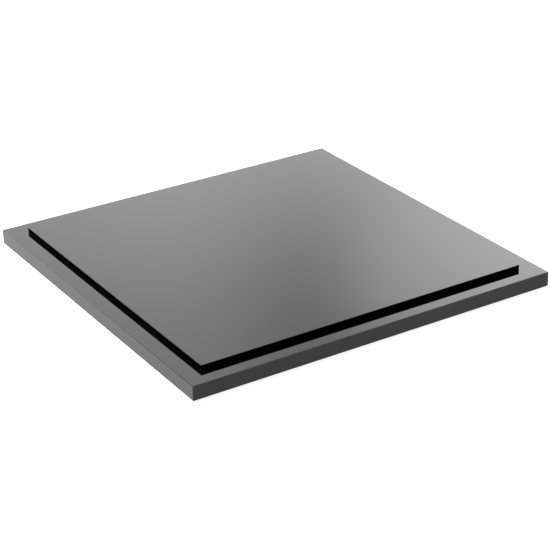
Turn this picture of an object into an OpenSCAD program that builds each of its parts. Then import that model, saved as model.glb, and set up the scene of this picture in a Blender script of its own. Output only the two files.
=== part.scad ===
// Two-tier granite slab for a leather bench: a square base plate of polished black granite,
// a thinner and smaller plate bonded on top of it, and four stick-on rubber pads underneath.
// The origin is the centre of the footprint, on the bench. +Z is up and -Y is the front.
// Lengths are in millimetres.

/* [Base plate] */
// Side of the square base plate
base_side = 305; // [200:5:420]
// Thickness of the base plate
base_t = 11.5; // [8:0.5:20]

/* [Top plate] */
// Width of the ledge left open around the top plate
ledge_w = 15.5; // [8:0.5:30]
// Thickness of the top plate
top_t = 3.9; // [2.5:0.1:10]

/* [Edges] */
// Leg of the 45 degree arris ground along every edge of the base plate
base_arris = 0.25; // [0.1:0.05:1]
// Leg of the 45 degree arris ground along every edge of the top plate
top_arris = 0.15; // [0.1:0.05:1]

/* [Bond] */
// Thickness of the epoxy bed between the two plates
bond_t = 0.1; // [0.05:0.05:0.5]
// Distance from the top plate's side to the edge of the epoxy
bond_setback = 1; // [1:0.1:3]

/* [Pads] */
// Diameter of a rubber pad
pad_d = 22; // [14:1:30]
// Thickness of the rubber
pad_t = 1.5; // [1:0.1:3]
// Radius that rounds a pad's lower rim
pad_rim_r = 0.4; // [0.1:0.05:0.8]
// Distance from the base plate's sides to a pad's centre
pad_inset = 27.5; // [20:0.5:50]
// Thickness of the adhesive film that holds a pad to the stone
film_t = 0.2; // [0.1:0.05:0.4]
// Distance from a pad's side to the edge of its adhesive film
film_setback = 0.5; // [0.2:0.1:2]

/* [Hidden] */

// Heights of the layers above the bench
film_z = pad_t;
base_z = film_z + film_t;
bond_z = base_z + base_t;
top_z = bond_z + bond_t;

// Sides of the two squares that lie on the base plate
top_side = base_side - 2 * ledge_w;
bond_side = top_side - 2 * bond_setback;

// Distance of the pads' centres from the middle, along X and along Y
pad_offset = base_side / 2 - pad_inset;

// Smoothness of the pads' round edges
round_fn = 96;

// A centred rectangle with its four corners cut off at 45 degrees, c back along each side.
module cut_rectangle(w, h, c) {
  x = w / 2;
  y = h / 2;
  polygon([
    [-x + c, -y], [x - c, -y], [x, -y + c], [x, y - c],
    [x - c, y], [-x + c, y], [-x, y - c], [-x, -y + c]
  ]);
}

// A square plate of stone that lies on z = 0, with an arris along all twelve edges.
module stone_plate(side, thickness, arris) {
  translate([0, 0, thickness / 2])
    intersection() {
      linear_extrude(thickness, center = true) cut_rectangle(side, side, arris);
      rotate([90, 0, 0]) linear_extrude(side, center = true) cut_rectangle(side, thickness, arris);
      rotate([90, 0, 90]) linear_extrude(side, center = true) cut_rectangle(side, thickness, arris);
    }
}

module base_plate() {
  color([0.16, 0.16, 0.17]) translate([0, 0, base_z]) stone_plate(base_side, base_t, base_arris);
}

module top_plate() {
  color([0.14, 0.14, 0.15]) translate([0, 0, top_z]) stone_plate(top_side, top_t, top_arris);
}

// The thin square sheet of epoxy that fills the joint between the plates.
module epoxy_bed() {
  color([0.05, 0.05, 0.05])
    translate([-bond_side / 2, -bond_side / 2, bond_z])
      cube([bond_side, bond_side, bond_t]);
}

// Moves a piece to its corner: side_x is -1 for left and 1 for right,
// side_y is -1 for front and 1 for back.
module at_corner(side_x, side_y) {
  translate([side_x * pad_offset, side_y * pad_offset, 0]) children();
}

// Half of a pad's section: square at the top, where it is stuck on, and round at the lower rim.
module pad_section() {
  r = pad_d / 2;
  difference() {
    square([r, pad_t]);
    translate([r - pad_rim_r, 0])
      difference() {
        square(pad_rim_r);
        translate([0, pad_rim_r]) circle(pad_rim_r, $fn = round_fn);
      }
  }
}

module pad(side_x, side_y) {
  color([0.08, 0.08, 0.08]) at_corner(side_x, side_y) rotate_extrude($fn = round_fn) pad_section();
}

module film(side_x, side_y) {
  color([0.80, 0.78, 0.72])
    at_corner(side_x, side_y)
      translate([0, 0, film_z])
        cylinder(h = film_t, d = pad_d - 2 * film_setback, $fn = round_fn);
}

base_plate();
top_plate();
epoxy_bed();
pad(-1, -1);  // pad_front_left
pad(1, -1);  // pad_front_right
pad(-1, 1);  // pad_back_left
pad(1, 1);  // pad_back_right
film(-1, -1);  // film_front_left
film(1, -1);  // film_front_right
film(-1, 1);  // film_back_left
film(1, 1);  // film_back_right
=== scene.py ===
"""Looks for a two-tier slab of polished black granite: materials, fine edge shape, studio and camera.

All lengths are in metres in the frame's own axes. Places and sizes come from the frame.
"""

import math
import random

import bmesh
import bpy
from mathutils import Matrix, Vector


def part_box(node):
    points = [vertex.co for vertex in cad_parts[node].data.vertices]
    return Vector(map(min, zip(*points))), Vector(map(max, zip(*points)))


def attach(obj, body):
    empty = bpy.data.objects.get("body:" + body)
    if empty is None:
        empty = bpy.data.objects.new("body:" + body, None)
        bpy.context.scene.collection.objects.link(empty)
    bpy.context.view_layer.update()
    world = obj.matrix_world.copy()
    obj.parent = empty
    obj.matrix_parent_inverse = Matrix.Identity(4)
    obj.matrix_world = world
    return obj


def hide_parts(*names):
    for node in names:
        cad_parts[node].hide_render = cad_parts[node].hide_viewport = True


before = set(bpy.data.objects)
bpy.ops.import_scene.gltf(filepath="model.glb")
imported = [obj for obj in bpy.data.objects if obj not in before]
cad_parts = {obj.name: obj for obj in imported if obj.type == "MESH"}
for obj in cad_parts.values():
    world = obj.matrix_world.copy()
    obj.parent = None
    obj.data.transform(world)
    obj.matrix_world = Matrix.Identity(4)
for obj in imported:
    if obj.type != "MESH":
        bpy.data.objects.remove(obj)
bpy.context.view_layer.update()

MM = 0.001
BODY = "root"
CORNERS = ("front_left", "front_right", "back_left", "back_right")

# Stone edges
BASE_ARRIS = 0.25 * MM      # leg of the ground arris, as the CAD has it
TOP_ARRIS = 0.15 * MM
ARRIS_SOFTENING = 0.14      # how far the rounding at each rim of the arris reaches, as a part of its leg
EDGE_STEP = 2.5 * MM        # spacing of the points along an edge
EDGE_MARGIN = 1.3 * MM      # plain stretch at each end of an edge
CHIP_STEP = 0.28 * MM       # spacing of the extra points at a chip
CHIP_POINTS = 4             # extra points on each side of a chip's middle
CHIP_WIDTH = 1.5 * CHIP_STEP

# Stone grain, in mm
CRYSTAL_SIZE = 1.1
FLECK_CELL = 0.55           # each speck of ore lies in a cell of this size
CLOUD_SIZE = 34.0           # of the slow drift from darker to paler stone
HAZE_SIZE = 60.0            # of the slow drift in polish
SAW_BLADE_CENTRE = (-310.0, 120.0, 0.0)

# The dark crystals, from the darkest: position in the colour ramp, grey level and warmth
CRYSTAL_TONES = (
    (0.0, 0.0004, 0.0),
    (0.5, 0.0006, 0.02),
    (0.75, 0.001, -0.05),
    (0.9, 0.002, 0.06),
    (1.0, 0.004, -0.04),
)

# Epoxy edge
EPOXY_STEP = 3.0 * MM       # spacing of the points along the edge
EPOXY_WANDER = 0.45 * MM    # how far the edge strays inwards
EPOXY_DRAWN_IN = 0.06 * MM  # how much deeper the edge lies at mid-height

# Rubber pads
PAD_RIM = 0.4 * MM          # radius that rounds the lower rim
PAD_RIM_STEPS = 6
PAD_TOP_BEVEL = 0.08 * MM
DISH_DEPTH = 0.3 * MM       # of the dish in the middle of the lower face
DISH_FLOOR = 2.0 * MM       # radius of its flat floor
DISH_BEND = 2.6 * MM        # radius where its wall changes slope
DISH_MOUTH = 3.1 * MM       # radius where it meets the lower face
GROOVES = 5                 # grip rings round the dish
GROOVE_START = 3.9 * MM     # inner radius of the first one
GROOVE_PITCH = 1.4 * MM
GROOVE_WIDTH = 0.7 * MM
GROOVE_SHOULDER = 0.15 * MM
GROOVE_DEPTH = 0.25 * MM

# Adhesive films
FILM_BULGE = 0.06 * MM      # how far the edge swells outwards
FILM_SHOULDER = 0.03 * MM   # height over which each rim is rounded

ROUND_SEGMENTS = 96

# Camera
CAMERA_AZIMUTH = -31.61     # degrees, 0 looks along +Y
CAMERA_ELEVATION = 25.848
CAMERA_ROLL = -1.368
CAMERA_DISTANCE = 1.3111
CAMERA_TARGET = (-0.00356, -0.01776, 0.0)
CAMERA_LENS = 112.3         # mm
CAMERA_SENSOR = 36.0        # mm

# Studio: how bright each stretch of the surroundings is. Angles are in degrees, and azimuth 0 is +Y.
WALL = 1.2
PANEL = 1.8
PANEL_FOOT = (8, 15)        # elevations between which the wall brightens into the panels
FRONT_CEILING = 2.3
BACK_CEILING = 0.65
CEILING_BLEND = 0.3         # how far the two ceilings run into each other, in the direction's own y
CEILING_FOOT = (36, 56)
BLACK = 0.02                # of the flags

# Soft patches on the panels: a broad bright one with a darker middle that has a small bright heart,
# a darker strip beside it, and a low bright strip under the left flag.
PATCHES = (
    dict(strength=1.52, at_azimuth=40.0, at_elevation=23.9, width=11.6, height=7.7),
    dict(strength=-1.41, at_azimuth=33.9, at_elevation=26.7, width=4.5, height=6.0),
    dict(strength=0.4, at_azimuth=35.7, at_elevation=26.1, width=2.0, height=2.1),
    dict(strength=-0.78, at_azimuth=15.0, at_elevation=28.4, width=12.7, height=3.4),
    dict(strength=3.0, at_azimuth=-27.0, at_elevation=21.0, width=6.0, height=1.7),
)
FLAGS = (
    dict(at_azimuth=-28, half_width=13, low=22.4, high=32),
    dict(at_azimuth=145, half_width=15, low=23, high=32),
)
FLAG_SIDE_SOFTNESS = 10
FLAG_FOOT_SOFTNESS = 1
FLAG_TOP_SOFTNESS = 8

KEY_PLACE = (-2.74, 4.75, 2.44)
KEY_AIM = (0.0, 0.0, 0.0)
KEY_SIZE = 1.2
KEY_POWER = 3250.0          # watts

FLOOR_HALF = 30.0
FLOOR_GREY = 0.15
FLOOR_GLOW = 0.85


# ---------------------------------------------------------------- nodes

def new_tree(owner):
    """An empty node tree on a material or world."""
    owner.use_nodes = True
    owner.node_tree.nodes.clear()
    return owner.node_tree


def node(tree, kind, inputs=None, **settings):
    """Adds a node. Inputs are given by name or index, as a number or as another node's output."""
    made = tree.nodes.new(kind)
    for name, value in settings.items():
        setattr(made, name, value)
    for key, value in (inputs or {}).items():
        if isinstance(value, bpy.types.NodeSocket):
            tree.links.new(value, made.inputs[key])
        else:
            made.inputs[key].default_value = value
    return made


def calc(tree, operation, *values, clamp=False):
    """The output of one Math node."""
    made = node(tree, "ShaderNodeMath", dict(enumerate(values)), operation=operation, use_clamp=clamp)
    return made.outputs[0]


def vector_calc(tree, operation, *values):
    """The vector output of one Vector Math node."""
    return node(tree, "ShaderNodeVectorMath", dict(enumerate(values)), operation=operation).outputs[0]


def smooth(tree, value, low, high, to_low=0.0, to_high=1.0):
    """Goes smoothly from to_low to to_high as value goes from low to high."""
    made = node(
        tree, "ShaderNodeMapRange",
        {"Value": value, "From Min": low, "From Max": high, "To Min": to_low, "To Max": to_high},
        interpolation_type="SMOOTHSTEP",
    )
    return made.outputs["Result"]


def blend(tree, factor, low, high):
    """Mixes two numbers, or two colours where the first one is a colour."""
    colours = not isinstance(low, (int, float)) and getattr(low, "type", "RGBA") == "RGBA"
    kind = "Color" if colours else "Float"
    made = node(tree, "ShaderNodeMix", data_type="RGBA" if colours else "FLOAT")
    sockets = {socket.identifier: socket for socket in list(made.inputs) + list(made.outputs)}
    for name, value in (("Factor_Float", factor), ("A_" + kind, low), ("B_" + kind, high)):
        if isinstance(value, bpy.types.NodeSocket):
            tree.links.new(value, sockets[name])
        else:
            sockets[name].default_value = value
    return sockets["Result_" + kind]


def grey(value, warmth=0.0):
    """A near-neutral colour; warmth above 0 leans to brown, below 0 to blue."""
    return (value * (1 + warmth), value, value * (1 - warmth), 1.0)


# ---------------------------------------------------------------- studio

def degrees_away(tree, azimuth, at_azimuth, period):
    """How many degrees of azimuth away from at_azimuth, which comes round again after each period."""
    offset = calc(tree, "SUBTRACT", azimuth, at_azimuth)
    return calc(tree, "ABSOLUTE", calc(tree, "WRAP", offset, period / 2, -period / 2))


def soft_patch(tree, azimuth, elevation, strength, at_azimuth, at_elevation, width, height):
    """A soft oval patch, brighter or darker than the panels, and another just like it opposite."""
    across = calc(tree, "DIVIDE", degrees_away(tree, azimuth, at_azimuth, 180), width)
    up = calc(tree, "DIVIDE", calc(tree, "SUBTRACT", elevation, at_elevation), height)
    square = calc(tree, "ADD", calc(tree, "POWER", across, 2), calc(tree, "POWER", up, 2))
    return calc(tree, "MULTIPLY", calc(tree, "EXPONENT", calc(tree, "MULTIPLY", square, -1)), strength)


def black_flag(tree, azimuth, elevation, at_azimuth, half_width, low, high):
    """A black card. 1 on it and 0 off it, with soft edges."""
    away = degrees_away(tree, azimuth, at_azimuth, 360)
    across = smooth(tree, away, half_width, half_width + FLAG_SIDE_SOFTNESS, 1.0, 0.0)
    above = smooth(tree, elevation, low - FLAG_FOOT_SOFTNESS, low + FLAG_FOOT_SOFTNESS)
    below = smooth(tree, elevation, high, high + FLAG_TOP_SOFTNESS, 1.0, 0.0)
    return calc(tree, "MULTIPLY", across, calc(tree, "MULTIPLY", above, below))


def studio_world():
    """A soft studio all round: a bright ring of panels, a ceiling, and two black flags.

    The flags are what makes the upper plate's sides read as black.
    """
    world = bpy.data.worlds.new("studio")
    bpy.context.scene.world = world
    tree = new_tree(world)
    direction = node(tree, "ShaderNodeTexCoord").outputs["Generated"]
    x, y, z = node(tree, "ShaderNodeSeparateXYZ", {0: direction}).outputs
    azimuth = calc(tree, "DEGREES", calc(tree, "ARCTAN2", x, y))
    elevation = calc(tree, "DEGREES", calc(tree, "ARCSINE", z))

    level = smooth(tree, elevation, *PANEL_FOOT, WALL, PANEL)
    ceiling = smooth(tree, y, -CEILING_BLEND, CEILING_BLEND, FRONT_CEILING, BACK_CEILING)
    level = blend(tree, smooth(tree, elevation, *CEILING_FOOT), level, ceiling)
    for patch in PATCHES:
        level = calc(tree, "ADD", level, soft_patch(tree, azimuth, elevation, **patch))
    flags = [black_flag(tree, azimuth, elevation, **flag) for flag in FLAGS]
    level = blend(tree, calc(tree, "ADD", *flags, clamp=True), level, BLACK)
    background = node(tree, "ShaderNodeBackground", {"Color": (1.0, 1.0, 1.0, 1.0), "Strength": level})
    node(tree, "ShaderNodeOutputWorld", {"Surface": background.outputs[0]})


def key_light():
    """A round lamp behind the slab. It lights the floor; the stone mirrors only the studio's panels."""
    data = bpy.data.lights.new("key", "AREA")
    data.shape = "DISK"
    data.size = KEY_SIZE
    data.energy = KEY_POWER
    light = bpy.data.objects.new("key", data)
    bpy.context.scene.collection.objects.link(light)
    light.location = KEY_PLACE
    light.rotation_euler = (Vector(KEY_AIM) - Vector(KEY_PLACE)).to_track_quat("-Z", "Y").to_euler()
    light.visible_glossy = False


def floor():
    """A plain pale table top of frosted acrylic, lit from beneath, level with the bottom of the pads."""
    half = FLOOR_HALF
    corners = [(-half, -half, 0), (half, -half, 0), (half, half, 0), (-half, half, 0)]
    mesh = bpy.data.meshes.new("floor")
    mesh.from_pydata(corners, [], [(0, 1, 2, 3)])
    made = bpy.data.objects.new("floor", mesh)
    bpy.context.scene.collection.objects.link(made)
    material = bpy.data.materials.new("pale_floor")
    tree = new_tree(material)
    shader = node(tree, "ShaderNodeBsdfDiffuse", {"Color": grey(FLOOR_GREY)})
    glow = node(tree, "ShaderNodeEmission", {"Strength": FLOOR_GLOW})
    both = node(tree, "ShaderNodeAddShader", {0: shader.outputs[0], 1: glow.outputs[0]})
    node(tree, "ShaderNodeOutputMaterial", {"Surface": both.outputs[0]})
    mesh.materials.append(material)


def camera():
    """The camera looks down at the front left corner, with a slight roll."""
    azimuth = math.radians(CAMERA_AZIMUTH)
    elevation = math.radians(CAMERA_ELEVATION)
    level = math.cos(elevation)
    back = Vector((math.sin(azimuth) * level, -math.cos(azimuth) * level, math.sin(elevation)))
    level_right = Vector((math.cos(azimuth), math.sin(azimuth), 0.0))
    right = Matrix.Rotation(math.radians(CAMERA_ROLL), 3, back) @ level_right
    up = back.cross(right)
    data = bpy.data.cameras.new("camera")
    data.lens = CAMERA_LENS
    data.sensor_width = CAMERA_SENSOR
    made = bpy.data.objects.new("camera", data)
    bpy.context.scene.collection.objects.link(made)
    place = Matrix.Translation(Vector(CAMERA_TARGET) + back * CAMERA_DISTANCE)
    made.matrix_world = place @ Matrix((right, up, back)).transposed().to_4x4()
    bpy.context.scene.camera = made


# ---------------------------------------------------------------- materials

def principled(name, inputs):
    """Starts a material: returns it with its tree and shader."""
    material = bpy.data.materials.new(name)
    tree = new_tree(material)
    shader = node(tree, "ShaderNodeBsdfPrincipled", inputs)
    node(tree, "ShaderNodeOutputMaterial", {"Surface": shader.outputs[0]})
    return material, tree, shader


def add_bump(tree, shader, height, distance, strength=0.5):
    """Puts a height, from 0 to 1 over the distance, on a shader as bump."""
    bump = node(tree, "ShaderNodeBump", {"Strength": strength, "Distance": distance, "Height": height})
    tree.links.new(bump.outputs[0], shader.inputs["Normal"])


def millimetres(tree, offset=(0.0, 0.0, 0.0)):
    """Object coordinates in millimetres, moved so that two pieces don't share one pattern."""
    coords = node(tree, "ShaderNodeTexCoord").outputs["Object"]
    per_metre = 1 / MM
    scale = (per_metre, per_metre, per_metre)
    return node(tree, "ShaderNodeMapping", {"Vector": coords, "Location": offset, "Scale": scale}).outputs[0]


def noise(tree, coords, size, detail=2.0, roughness=0.5):
    """Soft noise from 0 to 1 with features about size mm across."""
    made = node(tree, "ShaderNodeTexNoise",
                {"Vector": coords, "Scale": 1.0 / size, "Detail": detail, "Roughness": roughness})
    return made.outputs[0]


def noise_vector(tree, coords, scale, detail):
    """Three soft noises at once, as a vector. scale is features per mm."""
    made = node(tree, "ShaderNodeTexNoise", {"Vector": coords, "Scale": scale, "Detail": detail})
    return made.outputs["Color"]


def cells(tree, coords, size):
    """Crystals about size mm across: two random numbers for each, and the distance from its middle."""
    voronoi = node(tree, "ShaderNodeTexVoronoi", {"Vector": coords, "Scale": 1.0 / size})
    picked = node(tree, "ShaderNodeSeparateColor", {0: voronoi.outputs["Color"]})
    return picked.outputs[0], picked.outputs[1], voronoi.outputs["Distance"]


def laths(tree, coords, turn):
    """Thin pale feldspar laths, all lying about one way in space. 1 on a lath, 0 elsewhere."""
    stretched = node(tree, "ShaderNodeMapping",
                     {"Vector": coords, "Rotation": turn, "Scale": (0.55, 3.2, 1.6)}, vector_type="TEXTURE")
    pick, _, distance = cells(tree, stretched.outputs[0], 1.0)
    chosen = smooth(tree, pick, 0.86, 0.90)
    return calc(tree, "MULTIPLY", chosen, smooth(tree, distance, 0.22, 0.34, 1.0, 0.0))


def feldspar(tree, coords):
    """Laths lying in three directions. 1 on a lath, 0 elsewhere."""
    two = calc(tree, "ADD", laths(tree, coords, (0.3, 0.5, 0.2)), laths(tree, coords, (1.3, -0.4, 1.1)))
    return calc(tree, "ADD", two, laths(tree, coords, (-0.7, 1.2, 2.2)), clamp=True)


def crystal_colour(tree, pick, paleness_and_painted_shade):
    """The dark crystals' own colour: most are nearly black, and a few are a little paler."""
    crystal = node(tree, "ShaderNodeValToRGB", {0: pick})
    ramp = crystal.color_ramp
    while len(ramp.elements) < len(CRYSTAL_TONES):
        ramp.elements.new(0.5)
    for element, (position, value, warmth) in zip(ramp.elements, CRYSTAL_TONES):
        element.position = position
        element.color = grey(value * paleness_and_painted_shade, warmth)
    return crystal.outputs[0]


def ore_flecks(tree, coords, uneven):
    """Specks of ore: few, ragged, and of many sizes. 1 on a speck, 0 elsewhere.

    Also returns a random number for each speck's cell, and the distance from its middle.
    """
    rag = noise_vector(tree, coords, 5.5, 1.0)
    ragged = vector_calc(tree, "MULTIPLY_ADD", rag, (0.55, 0.55, 0.55), uneven)
    pick, size_pick, distance = cells(tree, ragged, FLECK_CELL)
    beyond_edge = calc(tree, "SUBTRACT", distance, blend(tree, size_pick, 0.08, 0.34))
    chosen = smooth(tree, pick, 0.974, 0.984)
    fleck = calc(tree, "MULTIPLY", chosen, smooth(tree, beyond_edge, -0.07, 0.05, 1.0, 0.0))
    return fleck, size_pick, distance


def pits(tree, pick, distance):
    """The height of a polished face: 1, and 0 in a few tiny open pits."""
    chosen = smooth(tree, pick, 0.985, 0.99)
    pit = calc(tree, "MULTIPLY", chosen, smooth(tree, distance, 0.12, 0.2, 1.0, 0.0))
    return calc(tree, "SUBTRACT", 1.0, pit)


def saw_marks(tree, coords):
    """Shallow arcs that a large round blade leaves across a sawn face, with the grain's own roughness."""
    away = node(tree, "ShaderNodeVectorMath", {0: coords, 1: SAW_BLADE_CENTRE}, operation="DISTANCE")
    drift = calc(tree, "MULTIPLY", noise(tree, coords, 70.0, 2.0), 9.0)
    phase = calc(tree, "MULTIPLY", calc(tree, "ADD", away.outputs["Value"], drift), 2.1)
    arcs = calc(tree, "MULTIPLY_ADD", calc(tree, "SINE", phase), 0.35, 0.5)
    return calc(tree, "MULTIPLY_ADD", noise(tree, coords, 0.6, 3.0), 0.6, arcs)


def granite(name, offset, polish, roughness, paleness_and_painted_shade=1.0):
    """Fine-grained black granite.

    polish: "mirror" for the faces, "side" for the ground and polished edges, "arris" and "sawn".
    paleness scales the stone's own colour. The sawn face is paler, as unpolished stone shows more of its
    colour; the polished faces and sides are made darker as painted shade, which keeps them black where the
    key lamp lights them.
    """
    material, tree, shader = principled(name, {"IOR": 1.475 if polish == "side" else 1.55})
    coords = millimetres(tree, offset)
    shift = vector_calc(tree, "SUBTRACT", noise_vector(tree, coords, 1.3, 2.0), (0.5, 0.5, 0.5))
    uneven = vector_calc(tree, "MULTIPLY_ADD", shift, (0.9, 0.9, 0.9), coords)

    pick, polish_pick, _ = cells(tree, uneven, CRYSTAL_SIZE)
    colour = crystal_colour(tree, pick, paleness_and_painted_shade)
    lath = calc(tree, "MULTIPLY", feldspar(tree, uneven), 0.75)
    colour = blend(tree, lath, colour, grey(0.007 * paleness_and_painted_shade, -0.08))

    fleck, fleck_pick, fleck_distance = ore_flecks(tree, coords, uneven)
    fleck_colour = blend(tree, fleck_pick, grey(0.20, 0.10), grey(0.12, -0.03))
    tree.links.new(calc(tree, "MULTIPLY", fleck, 0.9), shader.inputs["Metallic"])
    colour = blend(tree, fleck, colour, fleck_colour)

    cloud = smooth(tree, noise(tree, coords, CLOUD_SIZE, 3.0), 0.3, 0.7, 0.82, 1.18)
    clouded = node(tree, "ShaderNodeVectorMath", {0: colour, "Scale": cloud}, operation="SCALE").outputs[0]
    tree.links.new(clouded, shader.inputs["Base Color"])

    grain = smooth(tree, polish_pick, 0.0, 1.0, -0.25, 0.25)
    haze = smooth(tree, noise(tree, coords, HAZE_SIZE, 4.0, 0.6), 0.35, 0.75, -0.2, 0.5)
    uneven_polish = calc(tree, "MULTIPLY_ADD", calc(tree, "ADD", grain, haze), roughness, roughness)
    tree.links.new(uneven_polish, shader.inputs["Roughness"])

    if polish == "sawn":
        height = saw_marks(tree, coords)
        depth = 0.05 * MM
    elif polish == "arris":
        height = noise(tree, coords, 0.5, 2.0)
        depth = 0.03 * MM
    else:
        height = pits(tree, fleck_pick, fleck_distance)
        depth = 0.02 * MM
    add_bump(tree, shader, height, depth, strength=0.6)
    return material


def stone_materials(prefix, offset):
    """The four finishes of one plate: its top face, its sides, its arrises and its bottom face."""
    return [
        # Painted shade: the top face and the sides get darker copies of the stone's colour to offset the key
        # lamp's light on them. The sawn bottom is paler, as real sawn stone is.
        granite(prefix + "_polished", offset, "mirror", 0.035, paleness_and_painted_shade=0.4),
        granite(prefix + "_side", offset, "side", 0.05, paleness_and_painted_shade=0.2),
        granite(prefix + "_arris", offset, "arris", 0.09),
        granite(prefix + "_sawn", offset, "sawn", 0.55, paleness_and_painted_shade=30.0),
    ]


def epoxy_material():
    """Black epoxy that has set glossy, a little uneven where it was squeezed."""
    material, tree, shader = principled("black_epoxy", {"Roughness": 0.18, "IOR": 1.5})
    coords = millimetres(tree)
    colour = blend(tree, noise(tree, coords, 6.0), grey(0.004), grey(0.009, 0.05))
    tree.links.new(colour, shader.inputs["Base Color"])
    add_bump(tree, shader, noise(tree, coords, 1.5, 3.0), 0.05 * MM)
    return material


def rubber_material():
    """Matt black rubber with a fine moulded grain and some dust."""
    material, tree, shader = principled("pad_rubber", {"IOR": 1.5})
    coords = millimetres(tree)
    dust = smooth(tree, noise(tree, coords, 3.0, 4.0, 0.65), 0.5, 0.8)
    colour = blend(tree, dust, grey(0.014), grey(0.045, 0.08))
    tree.links.new(colour, shader.inputs["Base Color"])
    tree.links.new(smooth(tree, dust, 0.0, 1.0, 0.62, 0.85), shader.inputs["Roughness"])
    add_bump(tree, shader, noise(tree, coords, 0.25, 3.0), 0.03 * MM)
    return material


def film_material():
    """Off-white adhesive film, slightly mottled."""
    material, tree, shader = principled("adhesive_film", {"IOR": 1.45})
    coords = millimetres(tree)
    colour = blend(tree, noise(tree, coords, 2.5, 3.0), grey(0.50, 0.05), grey(0.66, 0.04))
    tree.links.new(colour, shader.inputs["Base Color"])
    tree.links.new(smooth(tree, noise(tree, coords, 1.0), 0.3, 0.7, 0.35, 0.5), shader.inputs["Roughness"])
    return material


# ---------------------------------------------------------------- meshes

def piece(name, mesh, replaced):
    """Makes a piece from its mesh, standing for one CAD node and riding on the only body."""
    made = bpy.data.objects.new(name, mesh)
    bpy.context.scene.collection.objects.link(made)
    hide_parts(replaced)
    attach(made, BODY)
    return made


def finished(mesh, name):
    """Turns an edit mesh into a mesh for an object."""
    made = bpy.data.meshes.new(name)
    mesh.to_mesh(made)
    mesh.free()
    return made


def turned(x, y, quarters):
    """A point turned by whole quarter turns about the vertical axis, with no rounding."""
    for _ in range(quarters):
        x, y = -y, x
    return x, y


def side_stations(half, rng, chips):
    """Places along one side with extra ones round each chip, and the middles of the chips."""
    end = half - EDGE_MARGIN
    count = round(2 * end / EDGE_STEP)
    places = {-end + i * 2 * end / count for i in range(count + 1)}
    middles = [rng.uniform(-0.95, 0.95) * end for _ in range(chips)]
    reach = CHIP_STEP * CHIP_POINTS
    for middle in middles:
        places = {p for p in places if abs(p - middle) > reach or abs(p) >= end - 1e-9}
        for k in range(-CHIP_POINTS, CHIP_POINTS + 1):
            place = middle + k * CHIP_STEP
            if abs(place) < end:
                places.add(place)
    return sorted(places), middles


def arris_widths(places, middles, rng):
    """How wide the arris is at each place, as a factor: hand ground, so it wavers, and wider at a chip."""
    waves = [(rng.uniform(0.05, 0.11), rng.uniform(14, 40) * MM, rng.uniform(0, math.tau)) for _ in range(3)]
    waves.append((0.04, 6 * MM, rng.uniform(0, math.tau)))
    sizes = [rng.uniform(0.3, 1.0) for _ in middles]
    widths = []
    for place in places:
        width = 1.0
        for amount, length, phase in waves:
            width += amount * math.sin(math.tau * place / length + phase)
        for middle, size in zip(middles, sizes):
            width += size * math.exp(-(((place - middle) / CHIP_WIDTH) ** 2))
        widths.append(width)
    return widths


def arris_levels(arris, soft):
    """The levels of an arris, from its face to its side, two at each rim so that the rim is softened.

    Each says how far in from the side it lies, in legs and as an extra, how far down from the face in the
    same way, and the leg of the cut across the plate's corner.
    """
    return [
        (1.0, soft, 0.0, 0.0, 0.33 * arris),
        (1.0, -0.7 * soft, 0.0, 0.7 * soft, 0.43 * arris),
        (0.0, 0.7 * soft, 1.0, -0.7 * soft, 0.87 * arris),
        (0.0, 0.0, 1.0, soft, arris),
    ]


def plate_mesh(name, node_name, arris, seed, chips, materials):
    """A square stone plate. Its faces are dead flat, and its arrises are ground by hand.

    The surface is a stack of outlines joined by strips: bottom face, lower arris, sides, upper arris and
    top face. materials are those of the top face, the sides, the arrises and the bottom face.
    """
    low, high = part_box(node_name)
    half = (high[0] - low[0]) / 2
    rng = random.Random(seed)
    soft = ARRIS_SOFTENING * arris
    levels = arris_levels(arris, soft)
    sides = []
    for _ in range(4):
        places, middles = side_stations(half, rng, chips)
        sides.append((places, arris_widths(places, middles, rng), arris_widths(places, [], rng)))

    mesh = bmesh.new()

    def outline(level, upper):
        """One ring of points at a level of the upper or lower arris."""
        legs_in, extra_in, legs_down, extra_down, cut = level
        ring = []
        for k, (places, upper_widths, lower_widths) in enumerate(sides):
            widths = upper_widths if upper else lower_widths

            def add(along, inset, drop):
                z = high[2] - drop if upper else low[2] + drop
                ring.append(mesh.verts.new((*turned(along, inset - half, k), z)))

            for place, width in zip(places, widths):
                leg = arris * width
                add(place, legs_in * leg + extra_in, legs_down * leg + extra_down)
            inset = legs_in * arris + extra_in
            drop = legs_down * arris + extra_down
            end = half - inset
            add(end - cut - soft, inset, drop)
            add(end - cut + 0.7 * soft, inset + 0.7 * soft, drop)
            add(end - 0.7 * soft, inset + cut - 0.7 * soft, drop)
            add(end, inset + cut + soft, drop)
        return ring

    lower = [outline(level, False) for level in levels]
    upper = [outline(level, True) for level in reversed(levels)]
    rings = lower + upper
    top_slot, side_slot, arris_slot, bottom_slot = range(4)
    side_strip = len(levels) - 1
    count = len(rings[0])
    for strip, (below, above) in enumerate(zip(rings, rings[1:])):
        for i in range(count):
            j = (i + 1) % count
            face = mesh.faces.new((below[i], below[j], above[j], above[i]))
            face.material_index = side_slot if strip == side_strip else arris_slot
            face.smooth = False
    bottom = mesh.faces.new(list(reversed(rings[0])))
    bottom.material_index = bottom_slot
    top = mesh.faces.new(rings[-1])
    top.material_index = top_slot
    made = finished(mesh, name)
    for material in materials:
        made.materials.append(material)
    return made


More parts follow.
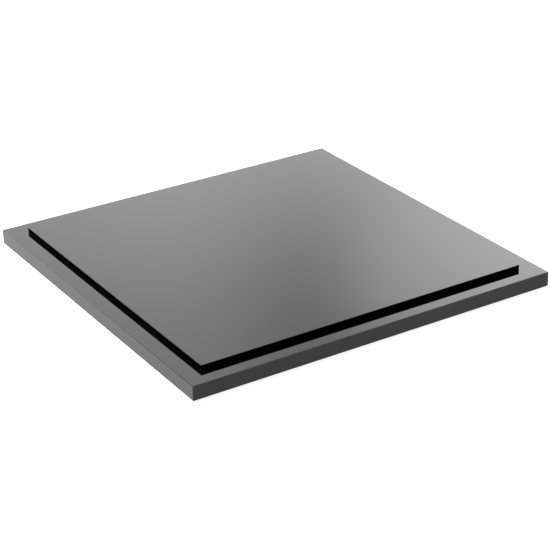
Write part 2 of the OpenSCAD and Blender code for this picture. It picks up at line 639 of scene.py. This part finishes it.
def epoxy_mesh(node_name, seed):
    """The epoxy sheet. Its edge wanders a little and is drawn in between the plates, as squeezed glue is."""
    low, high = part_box(node_name)
    half = (high[0] - low[0]) / 2
    heights = (low[2], (low[2] + high[2]) / 2, high[2])
    rng = random.Random(seed)
    wave_count = 4
    count = round(2 * half / EPOXY_STEP)
    mesh = bmesh.new()
    rings = [[], [], []]
    for k in range(4):
        waves = [(rng.uniform(8, 30) * MM, rng.uniform(0, math.tau)) for _ in range(wave_count)]
        for i in range(count):
            along = -half + 2 * half * i / count
            # The wander dies out at the corners, where two sides meet.
            calm = math.sin(math.pi * i / count) ** 0.5
            swing = sum(math.sin(math.tau * along / length + phase) for length, phase in waves) / wave_count
            inset = EPOXY_WANDER * calm * (0.5 + 0.5 * swing)
            for ring, z, extra in zip(rings, heights, (0.0, EPOXY_DRAWN_IN * calm, 0.0)):
                ring.append(mesh.verts.new((*turned(along, inset + extra - half, k), z)))
    total = len(rings[0])
    for below, above in zip(rings, rings[1:]):
        for i in range(total):
            j = (i + 1) % total
            mesh.faces.new((below[i], below[j], above[j], above[i])).smooth = True
    mesh.faces.new(list(reversed(rings[0])))
    mesh.faces.new(rings[-1])
    return finished(mesh, "epoxy_bed")


def turned_mesh(name, profile, centre):
    """A solid of revolution about a vertical axis.

    profile is its (radius, z) points, from the middle of the lower face to the middle of the upper one.
    """
    mesh = bmesh.new()
    rings = []
    for radius, z in profile[1:-1]:
        ring = []
        for i in range(ROUND_SEGMENTS):
            angle = math.tau * i / ROUND_SEGMENTS
            x = centre[0] + radius * math.cos(angle)
            y = centre[1] + radius * math.sin(angle)
            ring.append(mesh.verts.new((x, y, z)))
        rings.append(ring)
    bottom = mesh.verts.new((centre[0], centre[1], profile[0][1]))
    top = mesh.verts.new((centre[0], centre[1], profile[-1][1]))
    for i in range(ROUND_SEGMENTS):
        j = (i + 1) % ROUND_SEGMENTS
        mesh.faces.new((bottom, rings[0][j], rings[0][i]))
        mesh.faces.new((top, rings[-1][i], rings[-1][j]))
        for below, above in zip(rings, rings[1:]):
            mesh.faces.new((below[i], below[j], above[j], above[i])).smooth = True
    return finished(mesh, name)


def disc_place(node_name):
    """The radius and centre of a round node, and its lowest and highest z."""
    low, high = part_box(node_name)
    radius = (high[0] - low[0]) / 2
    centre = ((low[0] + high[0]) / 2, (low[1] + high[1]) / 2)
    return radius, centre, low[2], high[2]


def pad_mesh(node_name):
    """A moulded rubber disc with a rounded lower rim and shallow grip rings round a middle dish."""
    radius, centre, low, high = disc_place(node_name)
    profile = [
        (0.0, low + DISH_DEPTH),
        (DISH_FLOOR, low + DISH_DEPTH),
        (DISH_BEND, low + 0.6 * DISH_DEPTH),
        (DISH_MOUTH, low),
    ]
    for k in range(GROOVES):
        inner = GROOVE_START + GROOVE_PITCH * k
        outer = inner + GROOVE_WIDTH
        profile += [
            (inner, low),
            (inner + GROOVE_SHOULDER, low + 0.7 * GROOVE_DEPTH),
            ((inner + outer) / 2, low + GROOVE_DEPTH),
            (outer - GROOVE_SHOULDER, low + 0.7 * GROOVE_DEPTH),
            (outer, low),
        ]
    for k in range(PAD_RIM_STEPS + 1):
        angle = math.pi / 2 * k / PAD_RIM_STEPS
        out = radius - PAD_RIM + PAD_RIM * math.sin(angle)
        profile.append((out, low + PAD_RIM - PAD_RIM * math.cos(angle)))
    profile += [(radius, high - PAD_TOP_BEVEL), (radius - PAD_TOP_BEVEL, high), (0.0, high)]
    return turned_mesh("pad", profile, centre)


def film_mesh(node_name):
    """A die-cut disc of adhesive film, its edge pressed slightly rounder than it was cut."""
    radius, centre, low, high = disc_place(node_name)
    flat = radius - FILM_BULGE
    shoulder = radius - 0.3 * FILM_BULGE
    profile = [
        (0.0, low),
        (flat, low),
        (shoulder, low + FILM_SHOULDER),
        (radius, (low + high) / 2),
        (shoulder, high - FILM_SHOULDER),
        (flat, high),
        (0.0, high),
    ]
    return turned_mesh("film", profile, centre)


# ---------------------------------------------------------------- assembly

camera()
studio_world()
key_light()
floor()
bpy.context.scene.view_settings.view_transform = "Standard"

# The offsets only make the grain of the two plates differ.
base_stone = stone_materials("base", (0.0, 0.0, 0.0))
top_stone = stone_materials("top", (431.0, 277.0, 95.0))
base_shape = plate_mesh("granite_base", "base_plate", BASE_ARRIS, seed=11, chips=5, materials=base_stone)
base = piece("granite_base", base_shape, "base_plate")
top_shape = plate_mesh("granite_top", "top_plate", TOP_ARRIS, seed=23, chips=4, materials=top_stone)
top = piece("granite_top", top_shape, "top_plate")

glue = piece("epoxy_sheet", epoxy_mesh("epoxy_bed", seed=5), "epoxy_bed")
glue.data.materials.append(epoxy_material())

rubber = rubber_material()
film = film_material()
for corner in CORNERS:
    pad = piece("rubber_pad_" + corner, pad_mesh("pad_" + corner), "pad_" + corner)
    pad.data.materials.append(rubber)
    disc = piece("adhesive_disc_" + corner, film_mesh("film_" + corner), "film_" + corner)
    disc.data.materials.append(film)
